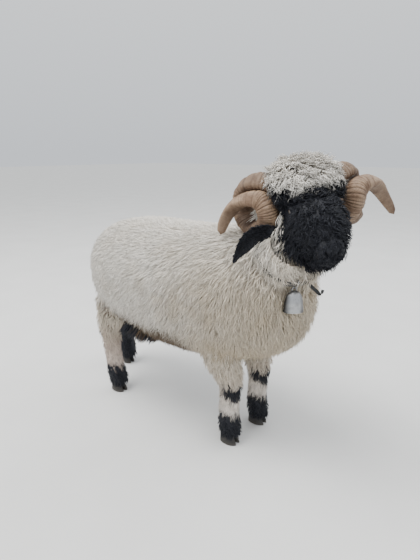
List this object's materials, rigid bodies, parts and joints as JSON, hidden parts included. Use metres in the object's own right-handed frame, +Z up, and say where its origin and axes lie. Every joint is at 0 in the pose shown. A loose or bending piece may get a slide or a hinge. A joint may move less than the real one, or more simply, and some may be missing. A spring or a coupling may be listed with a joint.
{
  "type": "valais blacknose sheep",
  "caption": "Horned blacknose ram in full fleece, standing on four feet with its head turned, wearing a strap collar with a bell; still, life size.",
  "frame": {"origin": "on the floor under the middle of the ram's bounding box", "axes": "+X towards the chest, +Y to the ram's left, +Z up"},
  "size_m": [1.2034, 0.5236, 0.9903],
  "materials": {
    "fleece": "matte cream wool in clumped locks",
    "black_wool": "matte black wool and short hair",
    "horn": "ribbed horn, half matte",
    "eye": "wet gloss",
    "claw": "dark worn horn",
    "strap": "black worn leather",
    "steel": "dull sheet steel"
  },
  "bodies": {
    "root": {"torso": "fleece", "neck": "fleece", "tail": "fleece", "leg_front_right": "fleece", "leg_front_left": "fleece", "leg_hind_right": "fleece", "leg_hind_left": "fleece", "head": "black_wool", "ear_right": "black_wool", "ear_left": "black_wool", "horn_right": "horn", "horn_left": "horn", "eye_right": "eye", "eye_left": "eye", "claw_outer_front_right": "claw", "claw_inner_front_right": "claw", "claw_outer_front_left": "claw", "claw_inner_front_left": "claw", "claw_outer_hind_right": "claw", "claw_inner_hind_right": "claw", "claw_outer_hind_left": "claw", "claw_inner_hind_left": "claw", "collar": "strap", "collar_loose_end": "strap", "bell_link": "steel", "bell_staple": "steel", "bell": "steel", "bell_clapper": "steel"}
  },
  "joints": []
}
